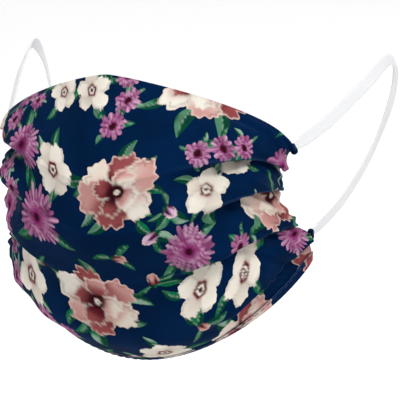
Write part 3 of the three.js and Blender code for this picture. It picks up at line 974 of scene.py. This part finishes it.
def make_hem(cols, material):
    """The turned band along the lower edge, lying on the cloth's outer face."""
    seat = CLOTH / 2 + HEM_SEAT
    outline = rounded_strip(HEM_WIDTH, HEM_PLY, 8)
    rings, p, q, worn = [], [], [], []
    for c in cols[::-2]:
        rail = c["rail"]
        pucker = 0.10 * math.sin(2.2 * float(c["p"][-1]))
        thin = float(smooth((1.02 - abs(rail.u)) / 0.06))
        s = np.array([rail.total - HEM_WIDTH / 2 + a for a, _ in outline])
        h = relief(rail, s) + [seat + (HEM_PLY / 2 + b * (1 + pucker)) * thin for _, b in outline]
        rings.append(rail.place(s, h))
        p.append(np.full(len(outline), c["p"][-1]))
        q.append(np.array([c["q"][-1] - HEM_WIDTH / 2 + a for a, _ in outline]))
        # The band's rims are lightened, partly as wear and partly as a painted highlight.
        worn.append(np.array([smooth((abs(a) - HEM_WIDTH / 2 + 0.5) / 0.5) for a, _ in outline]))
    p, q, worn = (np.array(x) for x in (p, q, worn))
    obj = sweep("hem_band", rings, material)
    inside, colour = print_fields(p, q)
    point_attribute(obj, "print_inside", inside.ravel())
    point_attribute(obj, "edge_wear_and_highlight", worn.ravel())
    point_colour(obj, "print_colour", colour.reshape(-1, 3))
    flat_uv(obj, "flat_cloth", np.stack([p.ravel(), q.ravel()], -1))
    return obj


def unit(v):
    return v / np.linalg.norm(v)


# Steps of a route between two of its points, half the length a direction is taken over, and steps of a band
ROUTE_STEPS = 60
TANGENT_STEP = 0.4
BAND_STEPS = 240
# How much narrower and flatter a tab is than its solid, and how much more so at its two ends
TAB_NARROWED = 0.62
TAB_FLATTENED = 0.72
TAB_END_NARROWED = 0.20
TAB_END_FLATTENED = 0.15
TAB_STEPS = 6


class Route:
    """An ear loop's middle line, a centripetal curve through its few points."""

    def __init__(self, corners, side):
        far = np.array([HALF_WIDTH + EAR_OUT, EAR_BACK, -EAR_DROP])
        self.side = side
        self.points = [mix(corners[c], far, np.array(way)) * (side, 1, 1) for c, *way, _ in LOOP]
        self.ts = np.arange(ROUTE_STEPS * (len(LOOP) - 1) + 1) / ROUTE_STEPS
        self.where = np.array([self.at(t) for t in self.ts])
        self.lengths = run(self.where)
        self.total = self.lengths[-1]

    def at(self, t):
        pts = self.points
        last = len(pts) - 1
        k = min(last - 1, int(t))
        w = t - k
        p1, p2 = pts[k], pts[k + 1]
        p0 = pts[k - 1] if k > 0 else 2 * p1 - p2
        p3 = pts[k + 2] if k < last - 1 else 2 * p2 - p1
        d0, d1, d2 = (max(1e-4, np.linalg.norm(b - a) ** 0.5) for a, b in ((p0, p1), (p1, p2), (p2, p3)))
        t1 = ((p1 - p0) / d0 - (p2 - p0) / (d0 + d1) + (p2 - p1) / d1) * d1
        t2 = ((p2 - p1) / d1 - (p3 - p1) / (d1 + d2) + (p3 - p2) / d2) * d1
        c2 = -3 * p1 + 3 * p2 - 2 * t1 - t2
        c3 = 2 * p1 - 2 * p2 + t1 + t2
        return p1 + t1 * w + c2 * w * w + c3 * w**3

    def point(self, length):
        return at_length(length, self.lengths, self.where)

    def frame(self, length):
        """Point, direction along, across the width, and off the outer face, at a length."""
        t = float(np.interp(length, self.lengths, self.ts))
        along = unit(self.point(length + TANGENT_STEP) - self.point(length - TANGENT_STEP))
        k = min(len(LOOP) - 2, int(t))
        turn = math.radians(mix(LOOP[k][4], LOOP[k + 1][4], float(smooth(t - k))))
        sideways = unit(np.array([self.side, 0, 0]) - self.side * along[0] * along)
        out_of_loop = np.cross(sideways, along) * self.side
        face = unit(math.cos(turn) * sideways + math.sin(turn) * out_of_loop)
        return self.point(length), along, unit(np.cross(face, along)), face


def reach(cols, corner, direction):
    """How far the cloth by a corner reaches ahead of it."""
    most = -math.inf
    for c in cols:
        for name in ("outer", "inner"):
            step = c[name] - corner
            ahead = step @ direction
            aside = np.linalg.norm(step - ahead[:, None] * direction, axis=1)
            near = (aside < BAND_WIDTH / 2 + 0.4) & (np.abs(ahead) < 3 * BAND_WIDTH)
            if near.any():
                most = max(most, float(ahead[near].max()))
    return most


def ring_at(frame_there, outline, side, shift=0.0):
    point, along, across, face = frame_there
    pairs = outline if side > 0 else [(-a, b) for a, b in outline][::-1]
    return np.array([point + along * shift + across * a + face * b for a, b in pairs])


def tab_outline():
    """A strip of cloth folded round the band, open along one edge, with soft edges."""
    inside = BAND_THICKNESS / 2 + SEAT_GAP
    outside = inside + TAB_PLY
    lip = TAB_PLY / 2
    w = BAND_WIDTH / 2 + SEAT_GAP + TAB_BORDER - lip
    back = -(BAND_WIDTH / 2 + SEAT_GAP)
    turns = [math.radians(45 * k - 90) for k in range(5)]
    edge = [(w + lip * math.cos(a), lip * math.sin(a)) for a in turns]
    out = [(x, y - inside - lip) for x, y in edge] + [(back, -inside), (back, inside)]
    out += [(x, y + inside + lip) for x, y in edge]
    for k in range(9):
        a = math.pi / 2 + math.pi * k / 8
        out.append((back + 1.4 * TAB_PLY * math.cos(a), outside * math.sin(a)))
    return out


def make_loop(name, side, cols, band_material, tab_material):
    inward = BAND_WIDTH / 2
    lowest = LINES[PLEATS[-1]["line"]]["at"]
    corners = {
        "upper": SIDE_RAIL.place([inward], [0.0])[0],
        "lower": SIDE_RAIL.place([SIDE_RAIL.length_at(lowest) - inward / 2], [0.0])[0],
    }
    route = Route(corners, side)
    start, end = route.frame(0.0), route.frame(route.total)
    clear_start = reach(cols, start[0], start[1]) + SEAT_GAP
    clear_end = reach(cols, end[0], -end[1]) + SEAT_GAP
    inset = TAB_LENGTH * 0.5
    low, high = clear_start + inset, route.total - clear_end - inset
    outline = rounded_strip(BAND_WIDTH, BAND_THICKNESS, 10, rounding=0.9)
    rings, uv = [], []
    for i in range(BAND_STEPS + 1):
        length = mix(low, high, i / BAND_STEPS)
        ripple = 1 + 0.012 * math.sin(length * 2.6) + 0.008 * math.sin(length * 0.9)
        from_end = min(length - low, high - length)
        ripple *= 1 - DRAWN_IN * math.exp(-((from_end / DRAWN_LENGTH) ** 2))
        shape = [(a * ripple, b) for a, b in outline]
        rings.append(ring_at(route.frame(length), shape, side))
        uv += [(a, length) for a, _ in (shape if side > 0 else shape[::-1])]
    band = sweep(f"ear_band_{name}", rings, band_material)
    flat_uv(band, "band", uv)

    tabs = []
    ends = ((start, clear_start), (end, -clear_end - TAB_LENGTH))
    outline = tab_outline()
    for where, (at, first) in zip(("upper", "lower"), ends):
        rings, uv = [], []
        for i in range(TAB_STEPS + 1):
            t = i / TAB_STEPS
            tip = abs(2 * t - 1) ** 3
            wide = TAB_NARROWED * (1 - TAB_END_NARROWED * tip)
            thick = TAB_FLATTENED * (1 - TAB_END_FLATTENED * tip)
            shape = [(a * wide, b * thick) for a, b in outline]
            rings.append(ring_at(at, shape, side, first + TAB_LENGTH * t))
            uv += [(j * TAB_PLY, TAB_LENGTH * t) for j in range(len(outline))]
        tab = sweep(f"tab_{name}_{where}", rings, tab_material)
        point_attribute(tab, "print_inside", np.full(len(tab.data.vertices), -1.0))
        flat_uv(tab, "flat_cloth", uv)
        tabs.append(tab)
    return band, tabs, ends


def strand(points, radius, sides=6):
    """Rings of a round thread through points, drawn in at both ends."""
    rings = []
    last = len(points) - 1
    turns = [2 * math.pi * k / sides for k in range(sides)]
    for i, p in enumerate(points):
        along = unit(points[min(last, i + 1)] - points[max(0, i - 1)])
        other = unit(np.cross(along, STRAND_SIDE))
        third = np.cross(along, other)
        r = radius * (STRAND_TIP if i in (0, last) else 1.0)
        rings.append(np.array([p + r * (math.cos(a) * other + math.sin(a) * third) for a in turns]))
    return rings


def join_strands(name, all_rings, material):
    verts, faces, uv = [], [], []
    base = 0
    for rings in all_rings:
        n, m = len(rings), len(rings[0])
        verts += rings
        faces += tube_faces(n, m, base)
        uv += [(j * 0.5, i * 0.8) for i in range(n) for j in range(m)]
        base += n * m
    obj = link(name, np.concatenate(verts), faces, material)
    flat_uv(obj, "strand", uv)
    return obj


STITCH = 2.4
STITCH_GAP = 0.7
STITCH_INSET = 1.0
THREAD = 0.16
STRAND_TIP = 0.35
STRAND_SIDE = (0.31, 0.23, 0.92)
# The bars of stitches on a tab: their places along it, reach across it, zigzag, and height off the band
TAB_BARS = (0.36, 0.62)
TAB_BAR_REACH = 0.40
TAB_BAR_ZIG = 0.14
TAB_BAR_OFF = (BAND_THICKNESS / 2 + SEAT_GAP + TAB_PLY) * 0.70 + 0.06


def make_hem_stitches(cols, material):
    """A running stitch along the hem band, near its upper edge."""
    seat = CLOTH / 2 + HEM_SEAT + HEM_PLY
    line, lift = [], []
    for c in cols:
        rail = c["rail"]
        s = np.full(2, rail.total - HEM_WIDTH + STITCH_INSET)
        low, high = rail.place(s, relief(rail, s) + [seat, seat + 1.0])
        line.append(low)
        lift.append(high - low)
    line, lift = np.array(line), np.array(lift)
    length = run(line)
    strands = []
    at = 1.2
    while at + STITCH < length[-1] - 1.0:
        pts = []
        for i in range(5):
            t = i / 4
            s = at + STITCH * t
            up = at_length(s, length, lift) * (THREAD * 0.75 * math.sin(math.pi * t) ** 0.5 - 0.05)
            pts.append(at_length(s, length, line) + up)
        strands.append(strand(pts, THREAD))
        at += STITCH + STITCH_GAP
    return join_strands("hem_stitches", strands, material)


def make_tab_stitches(name, ends, material):
    """Short bars of stitches across each tab, where the elastic is caught."""
    strands = []
    for (point, along, across, face), first in ends:
        for bar in TAB_BARS:
            pts = []
            for i in range(7):
                a = mix(-TAB_BAR_REACH, TAB_BAR_REACH, i / 6) * BAND_WIDTH / 2
                d = first + TAB_LENGTH * bar + TAB_BAR_ZIG * (1 if i % 2 else -1)
                pts.append(point + along * d + across * a + face * TAB_BAR_OFF)
            strands.append(strand(pts, THREAD))
    return join_strands(f"tab_stitches_{name}", strands, material)


# Assembly

cloth_material = printed_cloth()
hem_material = hem_cloth()
elastic_material = elastic()
thread_material = thread()

mask, columns, flat = make_mask(cloth_material)
hem = make_hem(columns, hem_material)
hem_stitches = make_hem_stitches(columns, thread_material)

# Each piece, its finish and the node it stands for
pieces = [
    (mask, "printed_cloth", "mask_body"),
    (hem, "hem_cloth", "hem_strip"),
    (hem_stitches, "hem_cloth", None),
]
for side_name, side_sign in (("left", 1), ("right", -1)):
    band, tabs, ends = make_loop(side_name, side_sign, columns, elastic_material, hem_material)
    stitches = make_tab_stitches(side_name, ends, thread_material)
    pieces += [(band, "elastic", f"ear_loop_{side_name}"), (stitches, "hem_cloth", None)]
    for tab, where in zip(tabs, ("upper", "lower")):
        pieces.append((tab, "hem_cloth", f"corner_tab_{side_name}_{where}"))

for piece, slot, node in pieces:
    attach(piece, "root")
    if node:
        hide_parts(node)

# Floor and light, in millimetres

FLOOR_DROP = 190.0
FLOOR_RADIUS = 900.0
SWEEP_RADIUS = 500.0
WALL_TOP = 1500.0
SWEEP_STEPS = 12
FLOOR_SIDES = 96
FLOOR_COLOUR = (0.93, 0.93, 0.93, 1)
WORLD_STRENGTH = 0.6
# Each light's name, place, what it points at, size across, and power in watts
LIGHTS = (
    ("key", (460, -520, 900), (10, 20, -60), 420, 8.4),
    ("side", (-620, -360, 200), (0, 10, -50), 420, 0.3),
    ("back", (-150, 700, 700), (10, 20, -60), 600, 4.0),
)


def make_stage():
    """A plain round floor that sweeps up into a pale wall on every side."""
    profile = []
    for k in range(SWEEP_STEPS + 1):
        a = math.pi / 2 * k / SWEEP_STEPS
        profile.append((FLOOR_RADIUS + SWEEP_RADIUS * math.sin(a), SWEEP_RADIUS * (1 - math.cos(a))))
    profile.append((FLOOR_RADIUS + SWEEP_RADIUS, WALL_TOP))
    around = FLOOR_SIDES
    verts = [(0.0, 0.0, -FLOOR_DROP)]
    for r, z in profile:
        for k in range(around):
            a = 2 * math.pi * k / around
            verts.append((r * math.cos(a), r * math.sin(a), z - FLOOR_DROP))
    faces = [(0, 1 + k, 1 + (k + 1) % around) for k in range(around)]
    for i in range(len(profile) - 1):
        for k in range(around):
            a, b = 1 + i * around + k, 1 + i * around + (k + 1) % around
            faces.append((a, a + around, b + around, b))
    finish = {"Base Color": FLOOR_COLOUR, "Roughness": 1.0, "Specular IOR Level": 0.0}
    floor = link("floor", verts, faces, Nodes("floor").shade(finish))


def area_light(name, place, target, size, power):
    data = bpy.data.lights.new(name, "AREA")
    data.shape = "DISK"
    data.size = size * MM
    data.energy = power
    aim(bpy.data.objects.new(name, data), place, target)


def make_world():
    world = bpy.data.worlds.new("world")
    world.use_nodes = True
    background = world.node_tree.nodes["Background"]
    background.inputs[0].default_value = (1, 1, 1, 1)
    background.inputs[1].default_value = WORLD_STRENGTH
    bpy.context.scene.world = world


bpy.context.scene.view_settings.view_transform = "Standard"
make_stage()
make_world()
for light in LIGHTS:
    area_light(*light)
